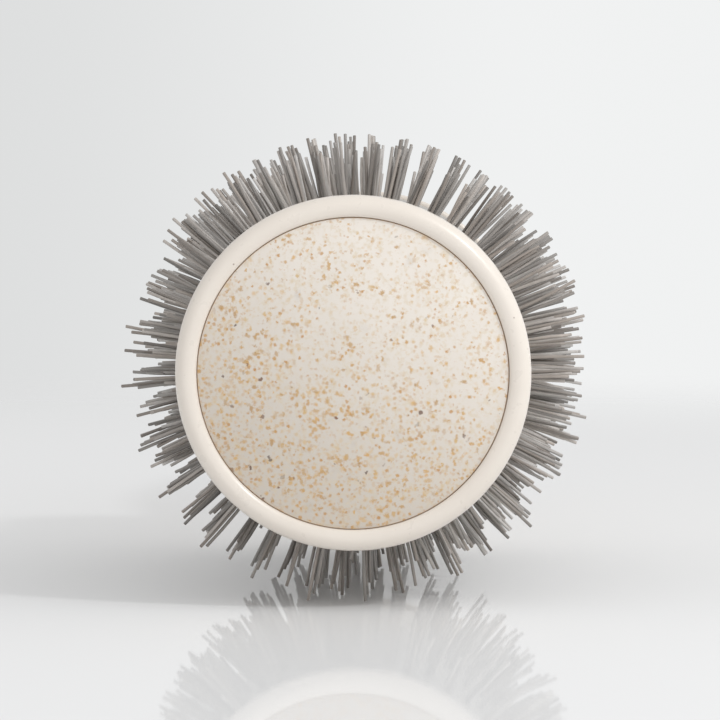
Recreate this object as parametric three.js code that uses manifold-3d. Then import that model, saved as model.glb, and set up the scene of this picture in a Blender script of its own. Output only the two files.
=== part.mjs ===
// Round barrel brush with a 53 mm barrel, lying on its bristles on a flat surface.
// Millimetres, +Z up. The brush axis is horizontal and runs along Y: the front cap
// faces -Y and the handle points to +Y. The origin is on the surface, under the
// middle of the brush's length.
//
// Depths are measured along the axis from the crest of the end ring. A turned outline
// is a list of (radius, depth) points: out along depth on the outer side, then back
// along the inner side.

import * as THREE from 'three';
import { mergeGeometries, mergeVertices } from 'three/addons/utils/BufferGeometryUtils.js';
import Module from 'manifold-3d';

const wasm = await Module();
wasm.setup();

// ---- Driving dimensions -------------------------------------------------------

const GAP = 0.3;                  // clearance kept between neighbouring pieces
const OVERRUN = 1;                // how far a cutting tool runs past the surface it cuts
const FACETS = 48;                // facets round the barrel, two for each bristle strip
const SMALL_FACETS = 24;
const FASTENER_FACETS = 10;

const BARREL_RADIUS = 26.5;
const BARREL_WALL = 0.8;
const BARREL_START = 7.3;
const BARREL_END = 101.7;

const STRIP_COUNT = 24;
const RINGS = 10;                 // tufts along one strip
const RING_START = 14.5;
const RING_PITCH = 8.4;
const TUFT_SIDES = 6;
const TUFT_TIP_DISTANCE = 36.4;   // from the brush axis
const TUFT_BASE_DISTANCE = 24.2;
const TUFT_TIP_RADIUS = 1.5;
const TUFT_BASE_RADIUS = 1.1;
const HOLE_RADIUS = 1.5;
const RAIL_UNDERSIDE = 23.3;      // distance of a rail's flat underside from the axis
const RAIL_SPAN = 13.6;           // degrees of the circle that one rail fills
const RAIL_MARGIN = 3.6;          // rail beyond its first and last tufts

const RING_RADIUS = 27.2;
const RING_CREST = 25.3;          // radius of the ring's foremost edge
const RING_BORE = 23.85;
const RING_LIP = 0.85;            // depth at which the rounded front meets the bore
const RING_NOSE = 2.2;            // depth at which the rounded front meets the side
const RING_LIP_STEPS = 2;
const RING_NOSE_STEPS = 3;
const CAP_SEAT = 4.2;
const HUB_BORE = 23;
const HUB_SEAT = 8.2;
const SPIGOT_RADIUS = 25.3;
const SPIGOT_BORE = 21.5;
const SPIGOT_END = 10.6;

const CAP_CROWN = -2.2;           // depth of the cap's middle, ahead of the ring's crest
const CAP_EDGE = 0.9;             // depth of the cap's rim
const CAP_EDGE_ROUND = 0.3;
const CAP_BACK = 3.7;
const CAP_EDGE_STEPS = 2;
const CROWN_STEPS = 4;
const CAP_PEGS = 3;
const PEG_CIRCLE = 17.5;
const PEG_RADIUS = 1.4;
const PEG_BARB_RADIUS = 2.1;
const PEG_BARB_LENGTH = 1.5;
const PEG_SOCKET_RADIUS = 1.7;

const HUB_FRONT = 5.6;
const HUB_THICKNESS = 2.3;
const HUB_BOSS_RADIUS = 7.5;
const HUB_BOSS_END = 12;
const HUB_RECESS_RADIUS = 5;
const HUB_RECESS_END = 8.6;
const WINDOWS = 6;
const WINDOW_RADIUS = 3.4;
const WINDOW_CIRCLE = 12.4;

const SCREW_RADIUS = 2;
const SCREW_BORE = 2.3;
const SCREW_END = 113.5;
const SCREW_HEAD_RADIUS = 3.8;
const SCREW_HEAD_FRONT = 4.6;
const SCREW_HEAD_BACK = 7.2;
const SCREW_HEAD_ROUND = 1;
const SCREW_HEAD_STEPS = 3;
const DRIVE_WIDTH = 0.9;
const DRIVE_SPAN = 4.4;
const DRIVE_DEPTH = 1.4;
const WASHER_RADIUS = 4.5;
const WASHER_FRONT = 7.5;
const WASHER_BACK = 8.3;

const CORE_START = 12.3;
const CORE_TUBE_RADIUS = 6;
const RIB_THICKNESS = 0.9;

const REAR_HUB_THICKNESS = 3;
const REAR_HUB_RADIUS = 25.1;

const COLLAR_FRONT = 97.7;
const COLLAR_SHOULDER = 102;
const COLLAR_SIDE_END = 105;
const COLLAR_END = 118;
const COLLAR_END_RADIUS = 11.6;
const COLLAR_STEPS = 4;
const COLLAR_SPIGOT_BORE = 23;
const COLLAR_CAVITY_END = 112.5;
const COLLAR_BORE = 7.3;

const INSERT_START = 99.5;
const INSERT_STEP = 118.6;
const INSERT_END = 146;
const INSERT_FRONT_RADIUS = 7;
const INSERT_REAR_RADIUS = 8;
const NUT_SEAT = 108;
const NUT_POCKET_RADIUS = 4.4;
const NUT_RADIUS = 4.04;          // across corners, halved
const NUT_THICKNESS = 3.2;
const NUT_SIDES = 6;

const HANDLE_START = 118.3;
const HANDLE_END = 226;
const HANDLE_WAIST = { radius: 9.4, depth: 130 };
const HANDLE_BELLY = { radius: 12.6, depth: 172 };
const HANDLE_END_RADIUS = 8.8;
const HANDLE_STEPS = 11;
const HANDLE_WALL = 2;
const HANDLE_SOCKET_RADIUS = 8.3;
const HANDLE_CAVITY_START = 152;
const HANDLE_CAVITY_END = 212;
const PLUG_BORE = 5.6;

const PLUG_START = 213;
const PLUG_FLANGE_END = 229;
const FLANGE_TAPER = 1;
const TAB_END = 243;
const TAB_THICKNESS = 6;
const TAB_RADIUS = 7.5;
const HANG_HOLE_RADIUS = 4;

// ---- Derived dimensions -------------------------------------------------------

const STRIP_STEP = 2 * Math.PI / STRIP_COUNT;
const TUFT_SWING = STRIP_STEP / 4;             // tufts stand to either side of their rail
const TUFT_TIP_HALF_WIDTH = TUFT_TIP_RADIUS * Math.cos(Math.PI / TUFT_SIDES);
const AXIS_HEIGHT = TUFT_TIP_DISTANCE * Math.cos(TUFT_SWING)
  + TUFT_TIP_HALF_WIDTH * Math.sin(TUFT_SWING);
const BARREL_BORE = BARREL_RADIUS - BARREL_WALL;
const BORE_APOTHEM = BARREL_BORE * Math.cos(Math.PI / FACETS);
const TAB_CENTRE = TAB_END - TAB_RADIUS;
const RING_DEPTHS = Array.from({ length: RINGS }, (_, i) => RING_START + i * RING_PITCH);
const RAIL_START = RING_START - RAIL_MARGIN;
const RAIL_END = RING_DEPTHS[RINGS - 1] + RAIL_MARGIN;
const REAR_HUB_FRONT = RAIL_END + GAP;
const REAR_HUB_BACK = REAR_HUB_FRONT + REAR_HUB_THICKNESS;

// ---- Materials ----------------------------------------------------------------

const paint = (color, roughness, metalness = 0) => ({ color, roughness, metalness });

const CREAM_PLASTIC = paint('#e8dfd6', 0.3);
const SPECKLED_PLASTIC = paint('#e2d9cb', 0.4);
const CERAMIC_COATING = paint('#b9b4ab', 0.45, 0.3);
const NYLON = paint('#8d857c', 0.5);
const INNER_PLASTIC = paint('#cfc8bd', 0.6);
const STEEL = paint('#a8abae', 0.35, 0.9);

// ---- Shape helpers ------------------------------------------------------------

const at = (radius, depth) => new THREE.Vector2(radius, depth);

// Part of an ellipse about (radius, depth), with angles in degrees from the radius axis.
function arc(centre, radialReach, axialReach, fromAngle, toAngle, steps) {
  return Array.from({ length: steps + 1 }, (_, i) => {
    const angle = THREE.MathUtils.degToRad(fromAngle + (toAngle - fromAngle) * i / steps);
    return at(centre.x + radialReach * Math.cos(angle), centre.y + axialReach * Math.sin(angle));
  });
}

// A ring-shaped piece: the outline closes on itself.
function turnedRing(outline, facets = FACETS) {
  return new THREE.LatheGeometry([...outline, outline[0]], facets);
}

// A piece that is solid on the axis: the outline starts and ends there.
function turnedSolid(outline, facets = SMALL_FACETS) {
  const front = at(0, outline[0].y);
  const back = at(0, outline[outline.length - 1].y);
  return new THREE.LatheGeometry([front, ...outline, back], facets);
}

// A cylinder, cone or prism along the brush axis, between two depths.
function rod(frontRadius, backRadius, front, back, sides = FASTENER_FACETS) {
  return new THREE.CylinderGeometry(backRadius, frontRadius, back - front, sides)
    .translate(0, (front + back) / 2, 0);
}

// A cross-section (x right, y up) drawn out along the brush axis, between two depths.
function drawnOut(shape, front, back, curveSegments = FASTENER_FACETS) {
  return new THREE.ExtrudeGeometry(shape, { depth: back - front, bevelEnabled: false, curveSegments })
    .rotateX(Math.PI / 2)
    .translate(0, back, 0);
}

// Copies of a geometry spaced evenly round a circle about the brush axis.
function roundTheAxis(makeOne, count, circleRadius, startAngle = 0) {
  return Array.from({ length: count }, (_, i) =>
    makeOne().translate(0, 0, circleRadius).rotateY(startAngle + i * 2 * Math.PI / count));
}

function toSolid(geometry) {
  const bare = new THREE.BufferGeometry();
  bare.setAttribute('position', geometry.getAttribute('position').clone());
  bare.setIndex(geometry.index);
  const welded = mergeVertices(bare);
  const index = welded.index.array;
  const corners = [];
  for (let i = 0; i < index.length; i += 3) {
    const [a, b, c] = index.slice(i, i + 3);
    if (a !== b && b !== c && c !== a) corners.push(a, b, c);
  }
  return new wasm.Manifold(new wasm.Mesh({
    numProp: 3,
    vertProperties: new Float32Array(welded.getAttribute('position').array),
    triVerts: new Uint32Array(corners),
  }));
}

function toGeometry(solid) {
  const mesh = solid.getMesh();
  const geometry = new THREE.BufferGeometry();
  geometry.setAttribute('position', new THREE.BufferAttribute(mesh.vertProperties, 3));
  geometry.setIndex(new THREE.BufferAttribute(mesh.triVerts, 1));
  geometry.computeVertexNormals();
  return geometry;
}

const joined = (geometry, ...others) =>
  toGeometry(others.reduce((solid, other) => solid.add(toSolid(other)), toSolid(geometry)));

const cut = (geometry, ...tools) =>
  toGeometry(tools.reduce((solid, tool) => solid.subtract(toSolid(tool)), toSolid(geometry)));

// ---- Front end ----------------------------------------------------------------

// The ring's rounded front, from the lip of its bore over the crest to its side.
function ringNose() {
  const inner = arc(at(RING_CREST, RING_LIP), RING_CREST - RING_BORE, RING_LIP, 180, 270,
    RING_LIP_STEPS);
  const outer = arc(at(RING_CREST, RING_NOSE), RING_RADIUS - RING_CREST, RING_NOSE, 270, 360,
    RING_NOSE_STEPS);
  return [...inner, ...outer.slice(1)];
}

function frontRing() {
  const shoulder = BARREL_START - GAP;
  return turnedRing([
    ...ringNose(),
    at(RING_RADIUS, shoulder),
    at(SPIGOT_RADIUS, shoulder),
    at(SPIGOT_RADIUS, SPIGOT_END),
    at(SPIGOT_BORE, SPIGOT_END),
    at(SPIGOT_BORE, HUB_SEAT),
    at(HUB_BORE, HUB_SEAT),
    at(HUB_BORE, CAP_SEAT),
    at(RING_BORE, CAP_SEAT),
  ]);
}

function capPeg() {
  const barbFront = HUB_FRONT + HUB_THICKNESS + GAP;
  return joined(
    rod(PEG_RADIUS, PEG_RADIUS, CAP_BACK - OVERRUN, barbFront + GAP),
    rod(PEG_BARB_RADIUS, PEG_RADIUS, barbFront, barbFront + PEG_BARB_LENGTH),
  );
}

function capDisc() {
  const radius = RING_BORE - GAP;
  const crownDrop = CAP_EDGE - CAP_CROWN;
  const crown = Array.from({ length: CROWN_STEPS }, (_, i) =>
    at(radius * i / CROWN_STEPS, CAP_CROWN + crownDrop * (i / CROWN_STEPS) ** 2));
  const edge = arc(at(radius - CAP_EDGE_ROUND, CAP_EDGE + CAP_EDGE_ROUND),
    CAP_EDGE_ROUND, CAP_EDGE_ROUND, 270, 360, CAP_EDGE_STEPS);
  const disc = new THREE.LatheGeometry(
    [...crown, ...edge, at(radius, CAP_BACK), at(0, CAP_BACK)], FACETS);
  return joined(disc, ...roundTheAxis(capPeg, CAP_PEGS, PEG_CIRCLE));
}

function frontHub() {
  const radius = HUB_BORE - GAP;
  const back = HUB_FRONT + HUB_THICKNESS;
  const plate = turnedRing([
    at(HUB_RECESS_RADIUS, HUB_FRONT),
    at(radius, HUB_FRONT),
    at(radius, back),
    at(HUB_BOSS_RADIUS, back),
    at(HUB_BOSS_RADIUS, HUB_BOSS_END),
    at(SCREW_BORE, HUB_BOSS_END),
    at(SCREW_BORE, HUB_RECESS_END),
    at(HUB_RECESS_RADIUS, HUB_RECESS_END),
  ], SMALL_FACETS);
  const socket = () => rod(PEG_SOCKET_RADIUS, PEG_SOCKET_RADIUS, HUB_FRONT - OVERRUN, back + OVERRUN);
  const window = () => rod(WINDOW_RADIUS, WINDOW_RADIUS, HUB_FRONT - OVERRUN, back + OVERRUN);
  return cut(plate,
    ...roundTheAxis(socket, CAP_PEGS, PEG_CIRCLE),
    ...roundTheAxis(window, WINDOWS, WINDOW_CIRCLE, Math.PI / WINDOWS));
}

function tieScrew() {
  const headRound = arc(
    at(SCREW_HEAD_RADIUS - SCREW_HEAD_ROUND, SCREW_HEAD_FRONT + SCREW_HEAD_ROUND),
    SCREW_HEAD_ROUND, SCREW_HEAD_ROUND, 270, 360, SCREW_HEAD_STEPS);
  const screw = turnedSolid([
    ...headRound,
    at(SCREW_HEAD_RADIUS, SCREW_HEAD_BACK),
    at(SCREW_RADIUS, SCREW_HEAD_BACK),
    at(SCREW_RADIUS, SCREW_END - SCREW_RADIUS / 2),
    at(SCREW_RADIUS / 2, SCREW_END),
  ]);
  const slot = () => new THREE.BoxGeometry(DRIVE_SPAN, 2 * DRIVE_DEPTH, DRIVE_WIDTH)
    .translate(0, SCREW_HEAD_FRONT, 0);
  return cut(screw, slot(), slot().rotateY(Math.PI / 2));
}

const tieWasher = () => turnedRing([
  at(SCREW_BORE, WASHER_FRONT),
  at(WASHER_RADIUS, WASHER_FRONT),
  at(WASHER_RADIUS, WASHER_BACK),
  at(SCREW_BORE, WASHER_BACK),
], SMALL_FACETS);

// ---- Barrel and bristles ------------------------------------------------------

// A prism standing out from the axis towards +Z, with its corners along the barrel.
function radialPrism(baseRadius, tipRadius, baseDistance, tipDistance) {
  return new THREE.CylinderGeometry(tipRadius, baseRadius, tipDistance - baseDistance, TUFT_SIDES)
    .rotateX(Math.PI / 2)
    .translate(0, 0, (baseDistance + tipDistance) / 2);
}

// One prism for each tuft of a strip, by turns on either side of the rail.
function alongTheStrip(makePrism) {
  return mergeGeometries(RING_DEPTHS.map((depth, i) =>
    makePrism().rotateY(i % 2 ? TUFT_SWING : -TUFT_SWING).translate(0, depth, 0)));
}

// The rail's section: its top follows two facets of the barrel's bore.
function railSection() {
  const apothem = BORE_APOTHEM - GAP;
  const halfSpan = THREE.MathUtils.degToRad(RAIL_SPAN / 2);
  const top = [-halfSpan, 0, halfSpan].map((angle) => {
    const distance = apothem / Math.cos(Math.abs(angle) - TUFT_SWING);
    return at(distance * Math.sin(angle), distance * Math.cos(angle));
  });
  const halfBase = RAIL_UNDERSIDE * Math.tan(halfSpan);
  return new THREE.Shape([...top, at(halfBase, RAIL_UNDERSIDE), at(-halfBase, RAIL_UNDERSIDE)]);
}

function bristleStrip() {
  const tuft = () => radialPrism(
    TUFT_BASE_RADIUS, TUFT_TIP_RADIUS, TUFT_BASE_DISTANCE, TUFT_TIP_DISTANCE);
  return joined(drawnOut(railSection(), RAIL_START, RAIL_END), alongTheStrip(tuft));
}

function barrelTube() {
  const tube = turnedRing([
    at(BARREL_BORE, BARREL_START),
    at(BARREL_RADIUS, BARREL_START),
    at(BARREL_RADIUS, BARREL_END),
    at(BARREL_BORE, BARREL_END),
  ]);
  const hole = () => radialPrism(
    HOLE_RADIUS, HOLE_RADIUS, BARREL_BORE - OVERRUN, BARREL_RADIUS + OVERRUN);
  const holes = Array.from({ length: STRIP_COUNT }, (_, i) =>
    alongTheStrip(hole).rotateY(i * STRIP_STEP));
  return cut(tube, mergeGeometries(holes));
}

// The ribbed core: one rib presses each rail outwards against the barrel.
function core() {
  const ribTip = RAIL_UNDERSIDE - GAP;
  const halfRib = RIB_THICKNESS / 2;
  const outline = [];
  for (let i = 0; i < STRIP_COUNT; i++) {
    const rib = [at(halfRib, CORE_TUBE_RADIUS), at(halfRib, ribTip), at(-halfRib, ribTip),
      at(-halfRib, CORE_TUBE_RADIUS)];
    outline.push(...rib.map((corner) => corner.rotateAround(at(0, 0), i * STRIP_STEP)));
  }
  const section = new THREE.Shape(outline);
  section.holes.push(new THREE.Path().absarc(0, 0, SCREW_BORE, 0, 2 * Math.PI, true));
  return drawnOut(section, CORE_START, REAR_HUB_FRONT - GAP);
}

function rearHub() {
  const plate = turnedRing([
    at(SCREW_BORE, REAR_HUB_FRONT),
    at(REAR_HUB_RADIUS, REAR_HUB_FRONT),
    at(REAR_HUB_RADIUS, REAR_HUB_BACK),
    at(SCREW_BORE, REAR_HUB_BACK),
  ], SMALL_FACETS);
  const window = () => rod(WINDOW_RADIUS, WINDOW_RADIUS,
    REAR_HUB_FRONT - OVERRUN, REAR_HUB_BACK + OVERRUN);
  return cut(plate, ...roundTheAxis(window, WINDOWS, WINDOW_CIRCLE));
}

// ---- Rear end and handle ------------------------------------------------------

// The collar carries the barrel's rear end and narrows to the handle's neck.
function rearCollar() {
  const cone = arc(at(COLLAR_END_RADIUS, COLLAR_SIDE_END),
    RING_RADIUS - COLLAR_END_RADIUS, COLLAR_END - COLLAR_SIDE_END, 0, 90, COLLAR_STEPS);
  return turnedRing([
    at(COLLAR_SPIGOT_BORE, COLLAR_FRONT),
    at(SPIGOT_RADIUS, COLLAR_FRONT),
    at(SPIGOT_RADIUS, COLLAR_SHOULDER),
    at(RING_RADIUS, COLLAR_SHOULDER),
    ...cone,
    at(COLLAR_BORE, COLLAR_END),
    at(COLLAR_BORE, COLLAR_CAVITY_END),
    at(COLLAR_END_RADIUS, COLLAR_CAVITY_END),
    at(COLLAR_SPIGOT_BORE, COLLAR_SIDE_END),
  ]);
}

// The sleeve that joins the collar and the handle, with a pocket for the nut.
function neckInsert() {
  const sleeve = turnedRing([
    at(SCREW_BORE, INSERT_START),
    at(INSERT_FRONT_RADIUS, INSERT_START),
    at(INSERT_FRONT_RADIUS, INSERT_STEP),
    at(INSERT_REAR_RADIUS, INSERT_STEP),
    at(INSERT_REAR_RADIUS, INSERT_END),
    at(SCREW_BORE, INSERT_END),
  ], SMALL_FACETS);
  return cut(sleeve,
    rod(NUT_POCKET_RADIUS, NUT_POCKET_RADIUS, NUT_SEAT, INSERT_END + OVERRUN, NUT_SIDES));
}

function captiveNut() {
  const front = NUT_SEAT + GAP;
  const back = front + NUT_THICKNESS;
  return cut(rod(NUT_RADIUS, NUT_RADIUS, front, back, NUT_SIDES),
    rod(SCREW_BORE, SCREW_BORE, front - OVERRUN, back + OVERRUN));
}

// The handle's outside, from its neck over the waist and belly to its end.
const handleOutside = new THREE.SplineCurve([
  at(COLLAR_END_RADIUS, HANDLE_START),
  at(HANDLE_WAIST.radius, HANDLE_WAIST.depth),
  at(HANDLE_BELLY.radius, HANDLE_BELLY.depth),
  at(HANDLE_END_RADIUS, HANDLE_END),
]);

function handleBody() {
  const outside = handleOutside.getPoints(HANDLE_STEPS);
  const cavity = outside
    .filter((point) => point.y > HANDLE_CAVITY_START && point.y < HANDLE_CAVITY_END)
    .map((point) => at(point.x - HANDLE_WALL, point.y))
    .reverse();
  return turnedRing([
    ...outside,
    at(PLUG_BORE, HANDLE_END),
    at(PLUG_BORE, HANDLE_CAVITY_END),
    ...cavity,
    at(HANDLE_SOCKET_RADIUS, HANDLE_CAVITY_START),
    at(HANDLE_SOCKET_RADIUS, HANDLE_START),
  ], SMALL_FACETS);
}

// The end plug and the flat tab with the hole that the brush hangs by.
function hangPlug() {
  const flangeFront = HANDLE_END + GAP;
  const plug = turnedSolid([
    at(PLUG_BORE - GAP, PLUG_START),
    at(PLUG_BORE - GAP, flangeFront),
    at(HANDLE_END_RADIUS, flangeFront),
    at(HANDLE_END_RADIUS - FLANGE_TAPER, PLUG_FLANGE_END),
  ]);
  const outline = new THREE.Shape()
    .moveTo(-TAB_RADIUS, flangeFront + GAP)
    .lineTo(TAB_RADIUS, flangeFront + GAP)
    .lineTo(TAB_RADIUS, TAB_CENTRE)
    .absarc(0, TAB_CENTRE, TAB_RADIUS, 0, Math.PI);
  outline.holes.push(new THREE.Path().absarc(0, TAB_CENTRE, HANG_HOLE_RADIUS, 0, 2 * Math.PI, true));
  const tab = new THREE.ExtrudeGeometry(outline,
    { depth: TAB_THICKNESS, bevelEnabled: false, curveSegments: SMALL_FACETS / 2 })
    .translate(0, 0, -TAB_THICKNESS / 2)
    .rotateY(Math.PI / 2);
  return joined(plug, tab);
}

// ---- Assembly -----------------------------------------------------------------

const brush = new THREE.Group();
brush.position.set(0, -(CAP_CROWN + TAB_END) / 2, AXIS_HEIGHT);

function addPiece(name, geometry, look) {
  const mesh = new THREE.Mesh(geometry, new THREE.MeshStandardMaterial(look));
  mesh.name = name;
  brush.add(mesh);
  return mesh;
}

addPiece('front_ring', frontRing(), CREAM_PLASTIC);
addPiece('cap_disc', capDisc(), SPECKLED_PLASTIC);
addPiece('front_hub', frontHub(), INNER_PLASTIC);
addPiece('tie_screw', tieScrew(), STEEL);
addPiece('tie_washer', tieWasher(), STEEL);
addPiece('barrel_tube', barrelTube(), CERAMIC_COATING);
addPiece('core', core(), INNER_PLASTIC);
addPiece('rear_hub', rearHub(), INNER_PLASTIC);
addPiece('rear_collar', rearCollar(), CREAM_PLASTIC);
addPiece('neck_insert', neckInsert(), INNER_PLASTIC);
addPiece('captive_nut', captiveNut(), STEEL);
addPiece('handle_body', handleBody(), SPECKLED_PLASTIC);
addPiece('hang_plug', hangPlug(), CREAM_PLASTIC);

// The first strip is the one that the brush lies on.
for (let i = 0; i < STRIP_COUNT; i++) {
  const name = `bristle_strip_${String(i + 1).padStart(2, '0')}`;
  addPiece(name, bristleStrip(), NYLON).rotation.y = Math.PI + i * STRIP_STEP;
}

export default brush;
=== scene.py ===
"""Looks of the round barrel brush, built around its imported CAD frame.

Metres, +Z up, the same frame as the CAD: the brush lies on its bristles along Y, with its cap at -Y.
Depths are measured along the brush axis from the front of the end ring. A turned outline is a list of
(radius, depth) points, out along depth on the outer side and back along the inner side.
"""

import math

import bmesh
import bpy
import numpy as np
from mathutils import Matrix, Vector


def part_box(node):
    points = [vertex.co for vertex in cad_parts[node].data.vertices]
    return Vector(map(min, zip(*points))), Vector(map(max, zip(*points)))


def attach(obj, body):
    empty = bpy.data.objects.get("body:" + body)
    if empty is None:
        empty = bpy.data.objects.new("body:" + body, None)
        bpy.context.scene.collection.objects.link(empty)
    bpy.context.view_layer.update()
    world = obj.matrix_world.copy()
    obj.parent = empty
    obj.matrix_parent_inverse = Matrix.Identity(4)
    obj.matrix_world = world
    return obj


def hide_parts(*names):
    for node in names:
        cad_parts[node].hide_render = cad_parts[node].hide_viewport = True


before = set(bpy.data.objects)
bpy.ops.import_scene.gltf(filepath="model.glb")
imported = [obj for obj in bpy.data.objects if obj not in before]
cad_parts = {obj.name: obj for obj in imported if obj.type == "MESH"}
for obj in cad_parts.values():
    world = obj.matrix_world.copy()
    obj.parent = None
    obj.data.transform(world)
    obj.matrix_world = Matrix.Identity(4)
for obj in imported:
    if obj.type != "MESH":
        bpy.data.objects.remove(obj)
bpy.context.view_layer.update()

MM = 0.001
BODY = "root"
random = np.random.default_rng(53)

# ---- Places read from the frame ---------------------------------------------------------------

ring_low, ring_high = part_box("front_ring")
FRONT = ring_low.y
AXIS_HEIGHT = (ring_low.z + ring_high.z) / 2
RING_CENTRE = Vector((0, FRONT, AXIS_HEIGHT))


def depths(node):
    """The depths at which a CAD node starts and ends."""
    low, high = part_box(node)
    return low.y - FRONT, high.y - FRONT


SPIGOT_END = depths("front_ring")[1]
CAP_CROWN = depths("cap_disc")[0]
BARREL_START, BARREL_END = depths("barrel_tube")
RAIL_START, RAIL_END = depths("bristle_strip_01")
COLLAR_START, COLLAR_END = depths("rear_collar")
HANDLE_START, HANDLE_END = depths("handle_body")
PLUG_START, TAB_END = depths("hang_plug")

# ---- Dimensions: the CAD source's own, and finer ones that only show here ---------------------

GAP = 0.3 * MM                      # between pieces that touch in the real brush

RING_RADIUS = (ring_high.x - ring_low.x) / 2
RING_CREST = 25.3 * MM
RING_BORE = 23.85 * MM
RING_LIP = 0.85 * MM
RING_NOSE = 2.2 * MM
CAP_SEAT = 4.2 * MM
HUB_BORE = 23 * MM
HUB_SEAT = 8.2 * MM
SPIGOT_RADIUS = 25.3 * MM
SPIGOT_BORE = 21.5 * MM

CAP_SEAM = 0.05 * MM                # finer than the gap of the CAD pieces
CAP_EDGE = 0.9 * MM
CAP_EDGE_ROUND = 0.12 * MM
CAP_EDGE_ARC = (277, 360)           # degrees, from facing almost straight ahead to facing out
CROWN_SHARE = 0.985                 # of the cap's radius, up to where its edge starts to turn down
CAP_BACK = 3.7 * MM
PEGS = 3
PEG_CIRCLE = 17.5 * MM
PEG_RADIUS = 1.4 * MM
PEG_BARB_START = 8.2 * MM
PEG_BARB_RADIUS = 2.1 * MM
PEG_BARB_LENGTH = 1.5 * MM

BARREL_RADIUS = 26.5 * MM
BARREL_WALL = 0.8 * MM
HOLE_RADIUS = 1.5 * MM

STRIPS = 24
TUFTS = 10
STRIP_STEP = math.tau / STRIPS
TUFT_SWING = STRIP_STEP / 4
RAIL_MARGIN = 3.6 * MM
FIRST_TUFT = RAIL_START + RAIL_MARGIN
TUFT_PITCH = (RAIL_END - RAIL_MARGIN - FIRST_TUFT) / (TUFTS - 1)
RAIL_TOP = 25.35 * MM
RAIL_UNDERSIDE = 23.3 * MM
RAIL_SPAN = math.radians(13.6)

FILAMENTS = 7                       # in a tuft, or one fewer
FILAMENT_RADIUS = 0.25 * MM
FILAMENT_SIDES = 8
CUT_BEVEL = 0.3                     # of a filament's radius, along it at its cut tip
CUT_FACE = 0.7                      # of a filament's radius, across its cut face
ROOT_DISTANCE = 24.2 * MM           # from the brush axis
TIP_DISTANCE = 34.4 * MM
TIP_SPREAD = 1.7 * MM               # typical, as the lean, splay and bow below are
LONGEST_TIP = 36.8 * MM
TUFT_WIDTH = 0.7 * MM               # from a tuft's middle, round the brush
TUFT_LENGTH = 1.1 * MM              # from a tuft's middle, along the brush
TUFT_FAN = 1.45                     # times as wide at the tips as at the roots
TUFT_LEAN = 0.4 * MM                # of all the tips of a tuft, round the brush
FILAMENT_SPLAY = 0.4 * MM           # of one tip, round the brush and along it
FILAMENT_BOW = 0.12 * MM            # of one filament, halfway up it
BOW_SHARE = 0.9                     # of a half wave, which moves a bowed filament's tip a little too
GOLDEN_TURN = math.tau * 0.618      # between the filaments of a tuft, which spreads them evenly

COLLAR_SHOULDER = 102 * MM
COLLAR_SIDE_END = 105 * MM
COLLAR_END_RADIUS = 11.6 * MM
COLLAR_SPIGOT_BORE = 23 * MM
COLLAR_CAVITY_END = 112.5 * MM
COLLAR_BORE = 7.3 * MM

HANDLE_WAIST = (9.4 * MM, 130 * MM)
HANDLE_BELLY = (12.6 * MM, 172 * MM)
HANDLE_END_RADIUS = 8.8 * MM
HANDLE_WALL = 2 * MM
HANDLE_EDGE_ROUND = 0.315 * MM
HANDLE_SOCKET_RADIUS = 8.3 * MM
HANDLE_CAVITY_START = 152 * MM
HANDLE_CAVITY_END = 212 * MM

PLUG_BORE = 5.6 * MM
PLUG_FLANGE_END = 229 * MM
PLUG_TAPER = 1 * MM                 # of the flange's radius, from its front to its back
TAB_THICKNESS = 6 * MM
TAB_RADIUS = 7.5 * MM
TAB_ROUND = 1.2 * MM
TAB_OVERLAP = 1.5 * MM              # of the tab and the flange that it stands on
HANG_HOLE_RADIUS = 4 * MM

# ---- Speckled plastic -------------------------------------------------------------------------

FEWER_FLECKS_LESS_SHADE = Vector((0.43, 0, 0.9))   # the direction in which the straw flecks get fewer and the painted shade on the base fades
WOBBLE_WAVES = 2.4                  # across a fleck's cell, which make its outline ragged
WOBBLE_REACH = 0.8                  # of a cell
SEAM_SHADE_START = 0.2 * MM              # inward from the ring's bore, where the brown painted shade of the seam starts
SEAM_SHADE_FULL = 0.12 * MM              # and where it is full

# ---- Camera and light -------------------------------------------------------------------------

LENS = 197.6                                    # focal length in millimetres
CAMERA_OFFSET = Vector((16, -600, 31)) * MM     # from the ring's centre, as the next one is
AIM_OFFSET = Vector((1.11, 0, 2.12)) * MM
SKY_LEVEL = 0.93
SKY_TILT = Vector((0.21, -0.09, -0.2))          # how much brighter the sky is towards +X, +Y and +Z
BACKDROP_TURN = (-0.13, 0.03)                   # the view's X, between which the backdrop brightens
BACKDROP_LEVELS = (0.735, 0.885)
FLOOR_REACH = 2.0
FLOOR_FADE = (0.25, 0.6)                        # distances between which the floor fades out
FLOOR_GLOSS = 0.5                               # of a full clear coat


# ---- Meshes -----------------------------------------------------------------------------------

def make_object(name, vertices, faces, smooth_angle=math.radians(35)):
    """A mesh object from plain lists, with its faces pointing out, smooth where it bends little."""
    mesh = bpy.data.meshes.new(name)
    mesh.from_pydata(vertices, [], faces)
    work = bmesh.new()
    work.from_mesh(mesh)
    bmesh.ops.recalc_face_normals(work, faces=work.faces)
    work.to_mesh(mesh)
    work.free()
    mesh.shade_smooth()
    mesh.set_sharp_from_angle(angle=smooth_angle)
    piece = bpy.data.objects.new(name, mesh)
    bpy.context.collection.objects.link(piece)
    return piece


def on_axis(radius, depth, angle):
    """The point at that radius, depth and angle; angle 0 is straight up and 90 degrees is +X."""
    return (radius * math.sin(angle), FRONT + depth, AXIS_HEIGHT + radius * math.cos(angle))


def arc(radius, depth, radial_reach, axial_reach, start, end, steps):
    """Points on part of an ellipse about (radius, depth), with angles in degrees; 0 is straight out."""
    angles = np.radians(np.linspace(start, end, steps + 1))
    return [(radius + radial_reach * math.cos(a), depth + axial_reach * math.sin(a)) for a in angles]


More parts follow.
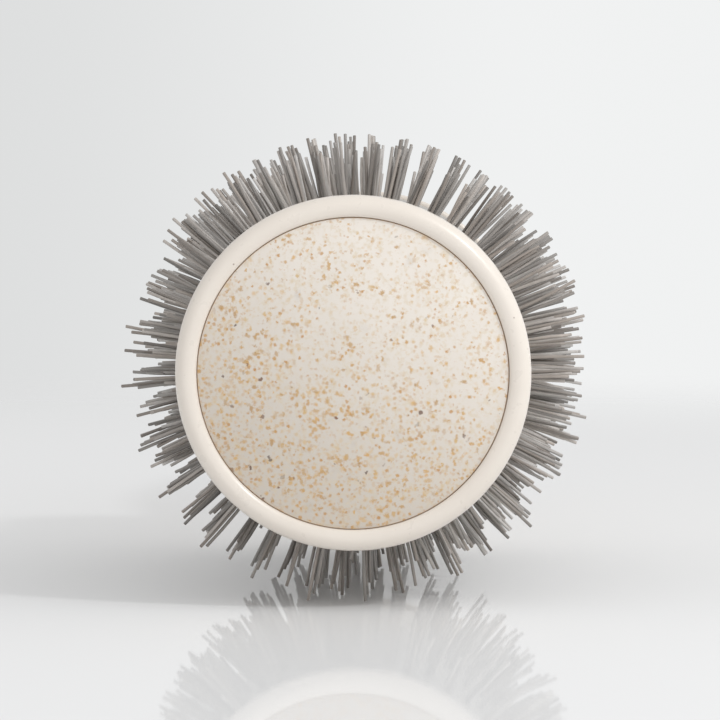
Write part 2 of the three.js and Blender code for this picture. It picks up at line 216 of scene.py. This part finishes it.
def eased(path, size=0.3 * MM, steps=3):
    """The path with each corner between its ends rounded off by up to that size."""
    points = [path[0]]
    for before, corner, after in zip(path, path[1:], path[2:]):
        here = np.array(corner)
        back = np.array(before) - here
        ahead = np.array(after) - here
        reach = min(size, 0.45 * np.linalg.norm(back), 0.45 * np.linalg.norm(ahead))
        start = here + back / np.linalg.norm(back) * reach
        end = here + ahead / np.linalg.norm(ahead) * reach
        for t in np.linspace(0, 1, steps + 1):
            points.append(tuple((1 - t) ** 2 * start + 2 * t * (1 - t) * here + t * t * end))
    return points + [path[-1]]


def turned_mesh(outline, segments=192):
    """The mesh of a turned piece, whose outline closes on itself or starts and ends on the axis."""
    solid = outline[0][0] == 0
    skin = outline[1:-1] if solid else outline
    count = len(skin)
    vertices = [on_axis(radius, depth, math.tau * k / segments)
                for k in range(segments) for radius, depth in skin]
    faces = []
    for k in range(segments):
        here, there = k * count, (k + 1) % segments * count
        for i in range(count - 1 if solid else count):
            j = (i + 1) % count
            faces.append((here + i, there + i, there + j, here + j))
        if solid:
            faces.append((segments * count, there, here))
            faces.append((segments * count + 1, here + count - 1, there + count - 1))
    if solid:
        vertices += [on_axis(0, outline[0][1], 0), on_axis(0, outline[-1][1], 0)]
    return vertices, faces


def add_mesh(vertices, faces, more_vertices, more_faces):
    """Appends one mesh to another."""
    start = len(vertices)
    vertices += more_vertices
    faces += [tuple(start + i for i in face) for face in more_faces]


def stands_for(piece, node, look):
    """Gives a finished piece its look and puts it in the place of its CAD node."""
    piece.data.materials.append(look)
    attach(piece, BODY)
    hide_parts(node)


# ---- Shader nodes -----------------------------------------------------------------------------

def per_mm(count):
    """A texture scale that gives that many cells in a millimetre."""
    return count / MM


def plug(tree, value, socket):
    """Links a socket to the value if that is another socket, and sets it otherwise."""
    if isinstance(value, bpy.types.NodeSocket):
        tree.links.new(value, socket)
    elif socket.type == "RGBA":
        socket.default_value = (*value, 1)
    else:
        socket.default_value = value


def add_node(tree, kind, inputs, **settings):
    """A shader node with its settings and its inputs, which go by name or by number."""
    made = tree.nodes.new("ShaderNode" + kind)
    for key, value in settings.items():
        setattr(made, key, value)
    for socket, value in inputs.items():
        plug(tree, value, made.inputs[socket])
    return made


class Look:
    """A Principled material, with short calls for the nodes that feed it."""

    def __init__(self, name, **sockets):
        self.material = bpy.data.materials.new(name)
        self.material.use_nodes = True
        self.tree = self.material.node_tree
        self.shader = self.tree.nodes["Principled BSDF"]
        for socket, value in sockets.items():
            self.shader.inputs[socket.replace("_", " ")].default_value = value
        self.place = self.node("TexCoord", {}).outputs["Object"]

    def node(self, kind, inputs, **settings):
        return add_node(self.tree, kind, inputs, **settings)

    def noise(self, scale, detail=2, place=None):
        """A noise texture's outputs, at the object's own coordinates or at changed ones."""
        inputs = {"Vector": place or self.place, "Scale": scale, "Detail": detail}
        return self.node("TexNoise", inputs).outputs

    def ramp(self, value, low, high, to_low=0, to_high=1):
        """The value eased from one range to another, and held at both ends."""
        inputs = {"Value": value, "From Min": low, "From Max": high, "To Min": to_low, "To Max": to_high}
        return self.node("MapRange", inputs, interpolation_type="SMOOTHSTEP").outputs["Result"]

    def maths(self, operation, a, b=0.0):
        return self.node("Math", {0: a, 1: b}, operation=operation).outputs[0]

    def vector(self, operation, a, b):
        return self.node("VectorMath", {0: a, 1: b}, operation=operation).outputs[0]

    def measure(self, operation, *vectors):
        """A number worked out from vectors, such as a length."""
        return self.node("VectorMath", dict(enumerate(vectors)), operation=operation).outputs["Value"]

    def blend(self, factor, a, b):
        """Colour a where the factor is 0 and colour b where it is 1."""
        made = self.node("Mix", {"Factor": factor}, data_type="RGBA")
        for value, socket in zip((a, b), [s for s in made.inputs if s.type == "RGBA"]):
            plug(self.tree, value, socket)
        return next(s for s in made.outputs if s.type == "RGBA")

    def feed(self, socket, value):
        """Links a value to a socket of the material itself."""
        self.tree.links.new(value, self.shader.inputs[socket])

    def bump(self, height, strength, distance):
        inputs = {"Height": height, "Strength": strength, "Distance": distance}
        self.feed("Normal", self.node("Bump", inputs).outputs["Normal"])


# ---- Materials --------------------------------------------------------------------------------

def cream_plastic():
    """Glossy warm cream plastic, with a faint cloudiness and a few fine dark specks."""
    look = Look("cream_plastic", Roughness=0.3, Coat_Weight=0.25, Coat_Roughness=0.12)
    cloud = look.ramp(look.noise(per_mm(0.12), 3)["Fac"], 0.35, 0.65)
    colour = look.blend(cloud, (0.777, 0.712, 0.64), (0.79, 0.727, 0.655))
    cells = look.node("TexVoronoi", {"Vector": look.place, "Scale": per_mm(0.28)}).outputs
    dice = look.node("SeparateColor", {"Color": cells["Color"]}).outputs[0]
    dot = look.ramp(cells["Distance"], 0.03, 0.07, 0.7, 0)
    speck = look.maths("MULTIPLY", look.ramp(dice, 0.8, 0.82), dot)
    look.feed("Base Color", look.blend(speck, colour, (0.2, 0.12, 0.08)))
    look.feed("Roughness", look.ramp(look.noise(per_mm(0.5), 3)["Fac"], 0.3, 0.7, 0.27, 0.33))
    look.bump(look.noise(per_mm(2), 3)["Fac"], 0.04, 0.05 * MM)
    return look.material


def fleck_layer(look, dense_and_shaded, cell, share, size, softness, stretch, turn):
    """How strongly one kind of straw fleck shows, from 0 to 1, and a random number for each fleck.

    The cell is the mean distance between flecks in millimetres. The share is the part of the cells that
    hold a fleck, and more of them do in clusters and towards the lower left, where the base also carries
    painted shade. The size and the softness of its edge are in cells."""
    turned = {"Vector": look.place, "Rotation": turn, "Scale": stretch}
    turned_place = look.node("Mapping", turned).outputs[0]
    waves = look.noise(per_mm(WOBBLE_WAVES / cell), 3)["Color"]
    wobble = {0: look.vector("SUBTRACT", waves, (0.5, 0.5, 0.5)), "Scale": WOBBLE_REACH * cell * MM}
    shift = look.node("VectorMath", wobble, operation="SCALE").outputs[0]
    place = look.vector("ADD", turned_place, shift)
    cells = look.node("TexVoronoi", {"Vector": place, "Scale": per_mm(1 / cell)}).outputs
    dice = look.node("SeparateColor", {"Color": cells["Color"]}).outputs
    cluster = look.ramp(look.noise(per_mm(0.3), 2, turned_place)["Fac"], 0.35, 0.65, -0.17, 0.11)
    cluster = look.maths("ADD", cluster, look.ramp(dense_and_shaded, 0, 1, -0.07, 0.12))
    reach = look.ramp(look.maths("ADD", dice[0], cluster), 1 - share, 1, 0, size)
    inside = look.ramp(look.maths("SUBTRACT", reach, cells["Distance"]), 0, softness)
    return look.maths("MULTIPLY", inside, look.ramp(dice[2], 0, 1, 0.35, 1)), dice[1]


def speckled_plastic():
    """Off-white plastic filled with straw flecks, some at the surface and some blurred below it.

    Towards the lower left the flecks grow denser and the base carries painted shade, and a thin band of
    brown painted shade lies in the seam round the cap."""
    look = Look("speckled_plastic", Roughness=0.45)
    cloud = look.ramp(look.noise(per_mm(0.1), 3)["Fac"], 0.3, 0.7)
    clear = look.blend(cloud, (0.775, 0.72, 0.655), (0.805, 0.75, 0.685))
    # painted shade with a real drift of flecks: towards the lower left (-X, -Z) the flecks grow denser and
    # the base colour darkens, standing in for light that falls from the upper right
    across = look.measure("DOT_PRODUCT", look.place, FEWER_FLECKS_LESS_SHADE)
    middle = FEWER_FLECKS_LESS_SHADE.z * AXIS_HEIGHT
    dense_and_shaded = look.ramp(across, middle - RING_BORE, middle + RING_BORE, 1, 0)
    colour = look.blend(dense_and_shaded, clear, (0.615, 0.56, 0.495))
    mottle = look.ramp(look.noise(per_mm(1.3), 4)["Fac"], 0.47, 0.7, 0, 0.5)
    colour = look.blend(mottle, colour, (0.67, 0.56, 0.40))
    even, along_x, along_z = (1, 1, 1), (0.6, 1, 1), (1, 1, 0.6)
    layers = (
        # cell, share, size, softness, stretch, turn, the two ends of its colours, strength
        (2.4, 0.7, 0.6, 0.6, even, (0.4, 0.9, 0.2), ((0.58, 0.50, 0.40), (0.50, 0.47, 0.44)), 0.45),
        (1.0, 0.65, 0.6, 0.5, even, (0.3, 0.5, 0.1), ((0.66, 0.44, 0.20), (0.64, 0.49, 0.28)), 0.85),
        (0.75, 0.75, 0.65, 0.5, even, (1.3, 0.2, 0.7), ((0.66, 0.38, 0.12), (0.62, 0.44, 0.22)), 0.95),
        (0.6, 0.65, 0.7, 0.45, even, (0.7, 1.2, 0.2), ((0.52, 0.27, 0.09), (0.60, 0.39, 0.18)), 0.95),
        (0.8, 0.5, 0.55, 0.35, along_x, (0.1, 0.9, 0.3), ((0.62, 0.35, 0.10), (0.48, 0.29, 0.12)), 0.85),
        (0.8, 0.5, 0.55, 0.35, along_z, (0.2, 0.4, 0.9), ((0.62, 0.38, 0.13), (0.46, 0.27, 0.11)), 0.85),
        (1.5, 0.25, 0.28, 0.1, even, (0.8, 0.3, 0.6), ((0.24, 0.11, 0.05), (0.12, 0.09, 0.08)), 0.9),
    )
    for cell, share, size, softness, stretch, turn, shades, strength in layers:
        fleck, dice = fleck_layer(look, dense_and_shaded, cell, share, size, softness, stretch, turn)
        colour = look.blend(look.maths("MULTIPLY", fleck, strength), colour, look.blend(dice, *shades))
    off_axis = look.vector("SUBTRACT", look.place, (0, 0, AXIS_HEIGHT))
    radius = look.measure("LENGTH", look.vector("MULTIPLY", off_axis, (1, 0, 1)))
    # painted shade: the cap's rim is painted brown where the seam between the cap and the ring lies in
    # shade
    seam_shade = look.ramp(radius, RING_BORE - SEAM_SHADE_START, RING_BORE - SEAM_SHADE_FULL)
    look.feed("Base Color", look.blend(seam_shade, colour, (0.42, 0.27, 0.16)))
    look.feed("Roughness", look.ramp(look.noise(per_mm(0.6), 3)["Fac"], 0.3, 0.7, 0.41, 0.49))
    look.bump(look.noise(per_mm(1.5), 3)["Fac"], 0.05, 0.05 * MM)
    return look.material


def bristle_nylon():
    """Satin taupe nylon, each filament a little lighter, darker, greyer or browner than the next."""
    look = Look("bristle_nylon", Roughness=0.32, Specular_IOR_Level=0.65)
    each = look.node("NewGeometry", {}).outputs["Random Per Island"]
    another = look.maths("FRACT", look.maths("MULTIPLY", each, 7.31))   # a second number from the first
    grey = look.blend(each, (0.18, 0.166, 0.152), (0.60, 0.575, 0.55))
    brown = look.blend(each, (0.135, 0.113, 0.095), (0.54, 0.48, 0.43))
    shade = look.blend(look.ramp(another, 0.3, 0.9), grey, brown)
    streak = look.ramp(look.noise(per_mm(0.8), 2)["Fac"], 0.35, 0.65, 0, 0.25)
    look.feed("Base Color", look.blend(streak, shade, (0.27, 0.245, 0.225)))
    look.bump(look.noise(per_mm(6), 2)["Fac"], 0.08, 0.02 * MM)
    return look.material


def ceramic_coating():
    """Satin warm grey ceramic coating on the aluminium barrel, with a fine grain."""
    look = Look("ceramic_coating", Roughness=0.4, Metallic=0.25, Coat_Weight=0.15, Coat_Roughness=0.25)
    cloud = look.ramp(look.noise(per_mm(0.15), 4)["Fac"], 0.3, 0.7)
    grain = look.ramp(look.noise(per_mm(5), 2)["Fac"], 0.45, 0.7, 0, 0.35)
    base = look.blend(cloud, (0.43, 0.40, 0.365), (0.48, 0.45, 0.41))
    look.feed("Base Color", look.blend(grain, base, (0.60, 0.575, 0.54)))
    look.feed("Roughness", look.ramp(look.noise(per_mm(1), 3)["Fac"], 0.3, 0.7, 0.34, 0.5))
    look.bump(look.noise(per_mm(4), 3)["Fac"], 0.1, 0.03 * MM)
    return look.material


def inner_plastic():
    """Matt natural moulded plastic of the hidden pieces."""
    look = Look("inner_plastic", Roughness=0.6)
    cloud = look.ramp(look.noise(per_mm(0.2), 4)["Fac"], 0.3, 0.7)
    look.feed("Base Color", look.blend(cloud, (0.58, 0.53, 0.46), (0.66, 0.61, 0.54)))
    look.feed("Roughness", look.ramp(look.noise(per_mm(2), 3)["Fac"], 0.3, 0.7, 0.5, 0.68))
    look.bump(look.noise(per_mm(3), 3)["Fac"], 0.15, 0.04 * MM)
    return look.material


def plated_steel():
    """Zinc-plated steel with fine turning marks round the brush axis."""
    look = Look("plated_steel", Metallic=1.0, Roughness=0.3)
    cloud = look.ramp(look.noise(per_mm(0.6), 4)["Fac"], 0.3, 0.7)
    look.feed("Base Color", look.blend(cloud, (0.48, 0.49, 0.50), (0.62, 0.62, 0.60)))
    along = look.node("Mapping", {"Vector": look.place, "Scale": (0.1, 1, 0.1)}).outputs[0]
    marks = look.noise(per_mm(8), 2, along)["Fac"]
    look.feed("Roughness", look.ramp(marks, 0.3, 0.7, 0.24, 0.42))
    look.bump(marks, 0.1, 0.02 * MM)
    return look.material


# ---- Front end --------------------------------------------------------------------------------

def front_ring(look):
    inner = arc(RING_CREST, RING_LIP, RING_CREST - RING_BORE, RING_LIP, 180, 270, 16)
    outer = arc(RING_CREST, RING_NOSE, RING_RADIUS - RING_CREST, RING_NOSE, 270, 360, 20)
    shoulder = BARREL_START - GAP
    back = eased([outer[-1], (RING_RADIUS, shoulder), (SPIGOT_RADIUS, shoulder),
                  (SPIGOT_RADIUS, SPIGOT_END), (SPIGOT_BORE, SPIGOT_END), (SPIGOT_BORE, HUB_SEAT),
                  (HUB_BORE, HUB_SEAT), (HUB_BORE, CAP_SEAT), (RING_BORE, CAP_SEAT), inner[0]])
    piece = make_object("end_ring", *turned_mesh(inner + outer[1:] + back[1:-1], segments=256))
    stands_for(piece, "front_ring", look)


def cap_peg(angle):
    """Vertices and faces of one barbed peg behind the cap."""
    root = CAP_BACK - GAP
    tip = PEG_BARB_START + PEG_BARB_LENGTH
    outline = eased([(0, root), (PEG_RADIUS, root), (PEG_RADIUS, PEG_BARB_START),
                     (PEG_BARB_RADIUS, PEG_BARB_START), (PEG_RADIUS, tip), (0, tip)], size=0.2 * MM)
    vertices, faces = turned_mesh(outline, segments=32)
    across, up = PEG_CIRCLE * math.sin(angle), PEG_CIRCLE * math.cos(angle)
    return [(x + across, y, z + up) for x, y, z in vertices], faces


def cap_disc(look):
    radius = RING_BORE - CAP_SEAM
    drop = CAP_EDGE - CAP_CROWN
    crown = [(radius * t, CAP_CROWN + drop * t * t) for t in np.linspace(0, CROWN_SHARE, 32)]
    edge = arc(radius - CAP_EDGE_ROUND, CAP_EDGE + CAP_EDGE_ROUND,
               CAP_EDGE_ROUND, CAP_EDGE_ROUND, *CAP_EDGE_ARC, 5)
    back = eased([edge[-1], (radius, CAP_BACK), (0, CAP_BACK)])
    vertices, faces = turned_mesh(crown + edge + back[1:], segments=256)
    for k in range(PEGS):
        add_mesh(vertices, faces, *cap_peg(math.tau * k / PEGS))
    stands_for(make_object("speckled_cap", vertices, faces), "cap_disc", look)


# ---- Barrel and bristles ----------------------------------------------------------------------

def tufts_of(strip):
    """(angle, depth) of each tuft of a strip. The first strip is the one that the brush lies on."""
    for k in range(TUFTS):
        swing = TUFT_SWING if k % 2 else -TUFT_SWING
        yield math.pi + strip * STRIP_STEP + swing, FIRST_TUFT + k * TUFT_PITCH


def barrel_tube(look):
    """A tube of small squares, with the eight corners round each hole's middle drawn onto its rim."""
    columns = 4 * STRIPS
    step = TUFT_PITCH / 4
    lead = 3
    inner_lines = np.arange(FIRST_TUFT - lead * step, BARREL_END - step / 2, step)
    lines = [BARREL_START, *inner_lines, BARREL_END]
    vertices = [on_axis(BARREL_RADIUS, depth, math.tau * c / columns)
                for depth in lines for c in range(columns)]
    faces = {(row, c): (row * columns + c, row * columns + (c + 1) % columns,
                        (row + 1) * columns + (c + 1) % columns, (row + 1) * columns + c)
             for row in range(len(lines) - 1) for c in range(columns)}
    for strip in range(STRIPS):
        for angle, depth in tufts_of(strip):
            middle = round(angle / math.tau * columns)
            line = 1 + lead + round((depth - FIRST_TUFT) / step)
            for side, along in ((-1, -1), (-1, 0), (0, -1), (0, 0)):
                del faces[line + along, (middle + side) % columns]
            for side, along in ((-1, -1), (0, -1), (1, -1), (1, 0), (1, 1), (0, 1), (-1, 1), (-1, 0)):
                reach = HOLE_RADIUS / math.hypot(side, along)
                place = on_axis(BARREL_RADIUS, depth + along * reach, angle + side * reach / BARREL_RADIUS)
                vertices[(line + along) * columns + (middle + side) % columns] = place
    piece = make_object("barrel_shell", vertices, list(faces.values()))
    wall = piece.modifiers.new("wall", "SOLIDIFY")
    wall.thickness = BARREL_WALL
    wall.offset = -1
    rounding = piece.modifiers.new("rounding", "SUBSURF")
    rounding.levels = 1
    rounding.render_levels = 1
    stands_for(piece, "barrel_tube", look)


def rail():
    """Vertices and faces of the curved bar that carries a strip's tufts, about angle 0."""
    half = RAIL_SPAN / 2
    corners = [(0, RAIL_TOP), (half, RAIL_TOP), (half, RAIL_UNDERSIDE),
               (-half, RAIL_UNDERSIDE), (-half, RAIL_TOP)]
    outline = eased([(angle * RAIL_TOP, radius) for angle, radius in [*corners, corners[0]]])[:-1]
    count = len(outline)
    vertices = [on_axis(radius, depth, across / RAIL_TOP)
                for depth in (RAIL_START, RAIL_END) for across, radius in outline]
    faces = [(i, (i + 1) % count, count + (i + 1) % count, count + i) for i in range(count)]
    return vertices, faces + [tuple(range(count)), tuple(range(count, 2 * count))]


def filament(root, tip, bend):
    """Vertices and faces of one filament, about a line that bows from its root to its cut tip."""
    along = tip - root
    length = np.linalg.norm(along)
    side = np.cross(along, (0.0, 1.0, 0.0))
    side /= np.linalg.norm(side)
    other = np.cross(along, side) / length
    sides = FILAMENT_SIDES
    bevel = CUT_BEVEL * FILAMENT_RADIUS / length
    rows = ((0, 1), (0.4, 1), (0.7, 1), (1 - bevel, 1), (1, CUT_FACE))     # (place, width) along it
    vertices = []
    for t, width in rows:
        middle = root + along * t + bend * math.sin(math.pi * t * BOW_SHARE)
        for k in range(sides):
            turn = math.tau * k / sides
            out = side * math.cos(turn) + other * math.sin(turn)
            vertices.append(tuple(middle + FILAMENT_RADIUS * width * out))
    faces = [(row * sides + k, row * sides + (k + 1) % sides, (row + 1) * sides + (k + 1) % sides,
              (row + 1) * sides + k) for row in range(len(rows) - 1) for k in range(sides)]
    return vertices, faces + [tuple(range(sides)), tuple(range(len(vertices) - sides, len(vertices)))]


def tuft(angle, depth):
    """(root, tip, bend) of each filament of a tuft, fanned out a little from an oval bundle."""
    out = np.array((math.sin(angle), 0, math.cos(angle)))
    across = np.array((math.cos(angle), 0, -math.sin(angle)))
    axis = np.array((0.0, 1.0, 0.0))
    centre = np.array((0, FRONT + depth, AXIS_HEIGHT))
    start_turn = random.uniform(0, math.tau)
    count = FILAMENTS - random.integers(0, 2)
    lean = random.normal(0, TUFT_LEAN)
    for k in range(count):
        turn = start_turn + k * GOLDEN_TURN
        spread = math.sqrt((k + 0.5) / count)
        place = spread * (TUFT_WIDTH * math.cos(turn) * across + TUFT_LENGTH * math.sin(turn) * axis)
        splay = random.normal(0, FILAMENT_SPLAY, 2)
        reach = min(random.normal(TIP_DISTANCE, TIP_SPREAD), LONGEST_TIP)
        tip = reach * out + TUFT_FAN * place + (lean + splay[0]) * across + splay[1] * axis
        if tip[2] < -AXIS_HEIGHT + FILAMENT_RADIUS:
            tip *= (FILAMENT_RADIUS - AXIS_HEIGHT) / tip[2]
        bow = random.normal(0, FILAMENT_BOW, 2)
        yield centre + ROOT_DISTANCE * out + place, centre + tip, bow[0] * across + bow[1] * axis


def bristle_strip(strip, look):
    """A rail with its tufts, turned to the strip's place round the brush."""
    vertices, faces = rail()
    turn = math.pi + strip * STRIP_STEP
    cos, sin = math.cos(turn), math.sin(turn)
    vertices = [(x * cos + (z - AXIS_HEIGHT) * sin, y, AXIS_HEIGHT + (z - AXIS_HEIGHT) * cos - x * sin)
                for x, y, z in vertices]
    for angle, depth in tufts_of(strip):
        for root, tip, bend in tuft(angle, depth):
            add_mesh(vertices, faces, *filament(root, tip, bend))
    number = f"{strip + 1:02d}"
    piece = make_object("bristles_" + number, vertices, faces, smooth_angle=math.radians(50))
    stands_for(piece, "bristle_strip_" + number, look)


# ---- Rear end and handle ----------------------------------------------------------------------

def rear_collar(look):
    flank = arc(COLLAR_END_RADIUS, COLLAR_SIDE_END, RING_RADIUS - COLLAR_END_RADIUS,
                COLLAR_END - COLLAR_SIDE_END, 0, 90, 40)
    inside = eased([flank[-1], (COLLAR_BORE, COLLAR_END), (COLLAR_BORE, COLLAR_CAVITY_END),
                    (COLLAR_END_RADIUS, COLLAR_CAVITY_END), (COLLAR_SPIGOT_BORE, COLLAR_SIDE_END),
                    (COLLAR_SPIGOT_BORE, COLLAR_START), (SPIGOT_RADIUS, COLLAR_START),
                    (SPIGOT_RADIUS, COLLAR_SHOULDER), (RING_RADIUS, COLLAR_SHOULDER), flank[0]],
                   size=0.6 * MM)
    piece = make_object("collar", *turned_mesh(flank + inside[1:-1], segments=256))
    stands_for(piece, "rear_collar", look)


def handle_outside(steps=32):
    """A smooth curve through the handle's neck, waist, belly and end, with that many steps to each."""
    stops = [np.array(stop) for stop in ((COLLAR_END_RADIUS, HANDLE_START), HANDLE_WAIST, HANDLE_BELLY,
                                         (HANDLE_END_RADIUS, HANDLE_END))]
    padded = [stops[0], *stops, stops[-1]]
    points = []
    for before, start, end, after in zip(padded, padded[1:], padded[2:], padded[3:]):
        leaving, arriving = (end - before) / 2, (after - start) / 2
        for t in np.linspace(0, 1, steps, endpoint=False):
            point = (2 * t ** 3 - 3 * t ** 2 + 1) * start + (t ** 3 - 2 * t ** 2 + t) * leaving
            point += (3 * t ** 2 - 2 * t ** 3) * end + (t ** 3 - t ** 2) * arriving
            points.append(tuple(point))
    return points + [tuple(stops[-1])]


def handle_body(look):
    outside = handle_outside()
    cavity = [(radius - HANDLE_WALL, depth) for radius, depth in reversed(outside)
              if HANDLE_CAVITY_START < depth < HANDLE_CAVITY_END]
    edge = eased([outside[-2], outside[-1], (PLUG_BORE, HANDLE_END)], size=HANDLE_EDGE_ROUND)
    bore = eased([outside[-1], (PLUG_BORE, HANDLE_END), (PLUG_BORE, HANDLE_CAVITY_END), cavity[0]],
                 size=0.5 * MM)
    socket = eased([cavity[-1], (HANDLE_SOCKET_RADIUS, HANDLE_CAVITY_START),
                    (HANDLE_SOCKET_RADIUS, HANDLE_START), outside[0], outside[1]], size=0.5 * MM)
    outline = outside[1:-1] + edge[1:-1] + bore[1:-1] + cavity + socket[1:-1]
    piece = make_object("handle", *turned_mesh(outline))
    stands_for(piece, "handle_body", look)


def hang_tab(segments=128):
    """Vertices and faces of the flat tab, as loops of points over its rim and into its hole."""
    centre = TAB_END - TAB_RADIUS
    neck = centre - PLUG_FLANGE_END + TAB_OVERLAP
    flat = TAB_THICKNESS / 2 - TAB_ROUND

    def rim(turn):
        """How far the tab reaches from its hole's middle: a half circle behind, and straight ahead."""
        ahead, aside = -math.cos(turn), abs(math.sin(turn))
        if ahead <= 0:
            return TAB_RADIUS
        if TAB_RADIUS * ahead < neck * aside:
            return TAB_RADIUS / aside
        return neck / ahead

    corner = [(TAB_ROUND * (1 - math.cos(a)), flat + TAB_ROUND * math.sin(a))
              for a in np.linspace(0, math.pi / 2, 7)]
    half_section = [(inset, -x) for inset, x in reversed(corner)] + corner
    section = [(True, inset, x) for inset, x in half_section]
    section += [(False, inset, x) for inset, x in reversed(half_section)]
    vertices = []
    for k in range(segments):
        turn = math.tau * k / segments
        for at_rim, inset, x in section:
            reach = rim(turn) - inset if at_rim else HANG_HOLE_RADIUS + inset
            vertices.append((x, FRONT + centre + reach * math.cos(turn),
                             AXIS_HEIGHT + reach * math.sin(turn)))
    count = len(section)
    faces = []
    for k in range(segments):
        here, there = k * count, (k + 1) % segments * count
        for i in range(count):
            j = (i + 1) % count
            faces.append((here + i, here + j, there + j, there + i))
    return vertices, faces


def hang_plug(look):
    flange = HANDLE_END + GAP
    spigot = PLUG_BORE - GAP
    outline = eased([(0, PLUG_START), (spigot, PLUG_START), (spigot, flange), (HANDLE_END_RADIUS, flange),
                     (HANDLE_END_RADIUS - PLUG_TAPER, PLUG_FLANGE_END), (0, PLUG_FLANGE_END)],
                    size=0.8 * MM, steps=5)
    piece = make_object("hang_end", *turned_mesh(outline, segments=128))
    tab = make_object("tab", *hang_tab())
    union = piece.modifiers.new("tab", "BOOLEAN")
    union.operation = "UNION"
    union.object = tab
    bpy.context.view_layer.objects.active = piece
    bpy.ops.object.modifier_apply(modifier=union.name)
    bpy.data.objects.remove(tab)
    stands_for(piece, "hang_plug", look)


# ---- CAD pieces that keep their shape ---------------------------------------------------------

def dress(look, *nodes):
    """Gives CAD nodes a better material in place of their own."""
    for name in nodes:
        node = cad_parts[name]
        node.data.materials.clear()
        node.data.materials.append(look)


# ---- Stage ------------------------------------------------------------------------------------

def floor():
    """A pale glossy table top, which fades out into the backdrop's colour far from the brush."""
    corners = [(x * FLOOR_REACH, y * FLOOR_REACH, 0) for x, y in ((-1, -1), (1, -1), (1, 1), (-1, 1))]
    top = make_object("table_top", corners, [(0, 1, 2, 3)])
    look = Look("table_top")
    diffuse = look.node("BsdfDiffuse", {"Color": (0.85, 0.855, 0.86)}).outputs[0]
    gloss = look.node("BsdfGlossy", {"Color": (1, 1, 1), "Roughness": 0.03}).outputs[0]
    mirror = look.maths("MULTIPLY", look.node("Fresnel", {"IOR": 1.45}).outputs[0], FLOOR_GLOSS)
    surface = look.node("MixShader", {"Fac": mirror, 1: diffuse, 2: gloss}).outputs[0]
    clear = look.node("BsdfTransparent", {}).outputs[0]
    gone = look.ramp(look.measure("LENGTH", look.place), *FLOOR_FADE)
    fade = look.node("MixShader", {"Fac": gone, 1: surface, 2: clear}).outputs[0]
    look.tree.links.new(fade, look.tree.nodes["Material Output"].inputs["Surface"])
    look.tree.nodes.remove(look.shader)
    top.data.materials.append(look.material)


def sky():
    """Soft light, a little brighter from the right, the front and below, and a pale backdrop."""
    world = bpy.data.worlds.new("studio")
    world.use_nodes = True
    bpy.context.scene.world = world
    tree = world.node_tree
    tree.nodes.clear()
    direction = add_node(tree, "TexCoord", {}).outputs["Generated"]
    tilt = add_node(tree, "VectorMath", {0: direction, 1: SKY_TILT}, operation="DOT_PRODUCT")
    strength = add_node(tree, "Math", {0: tilt.outputs["Value"], 1: SKY_LEVEL}, operation="ADD")
    light = add_node(tree, "Background", {"Color": (1, 1, 1), "Strength": strength.outputs[0]}).outputs[0]
    right = add_node(tree, "SeparateXYZ", {0: direction}).outputs["X"]
    turn = {"Value": right, "From Min": BACKDROP_TURN[0], "From Max": BACKDROP_TURN[1],
            "To Min": BACKDROP_LEVELS[0], "To Max": BACKDROP_LEVELS[1]}
    level = add_node(tree, "MapRange", turn, interpolation_type="SMOOTHSTEP").outputs["Result"]
    seen = add_node(tree, "Background", {"Color": (0.99, 1, 1), "Strength": level}).outputs[0]
    by_camera = add_node(tree, "LightPath", {}).outputs["Is Camera Ray"]
    mixed = add_node(tree, "MixShader", {"Fac": by_camera, 1: light, 2: seen}).outputs[0]
    add_node(tree, "OutputWorld", {"Surface": mixed})


def lamp(name, direction, distance, size, power):
    """A round soft lamp that faces the ring from that direction."""
    light = bpy.data.lights.new(name, "AREA")
    light.shape = "DISK"
    light.size = size
    light.energy = power
    holder = bpy.data.objects.new(name, light)
    away = Vector(direction).normalized()
    holder.location = RING_CENTRE + away * distance
    holder.rotation_euler = (-away).to_track_quat("-Z", "Y").to_euler()
    holder.visible_camera = False
    bpy.context.collection.objects.link(holder)


def camera():
    """A camera at the reference view's angle, a little above the brush axis and to its right."""
    lens = bpy.data.cameras.new("camera")
    lens.lens = LENS
    holder = bpy.data.objects.new("camera", lens)
    holder.location = RING_CENTRE + CAMERA_OFFSET
    holder.rotation_euler = (AIM_OFFSET - CAMERA_OFFSET).to_track_quat("-Z", "Y").to_euler()
    bpy.context.collection.objects.link(holder)
    bpy.context.scene.camera = holder


# ---- The brush --------------------------------------------------------------------------------

camera()
sky()
lamp("key", direction=(0.62, -0.5, 0.68), distance=1.2, size=0.14, power=3)
lamp("softbox", direction=(0.66, -0.35, 0.66), distance=0.34, size=0.25, power=0.12)
floor()
bpy.context.scene.view_settings.view_transform = "Standard"

cream = cream_plastic()
speckled = speckled_plastic()
nylon = bristle_nylon()

front_ring(cream)
cap_disc(speckled)
barrel_tube(ceramic_coating())
for strip in range(STRIPS):
    bristle_strip(strip, nylon)
rear_collar(cream)
handle_body(speckled)
hang_plug(cream)
dress(inner_plastic(), "front_hub", "core", "rear_hub", "neck_insert")
dress(plated_steel(), "tie_screw", "tie_washer", "captive_nut")
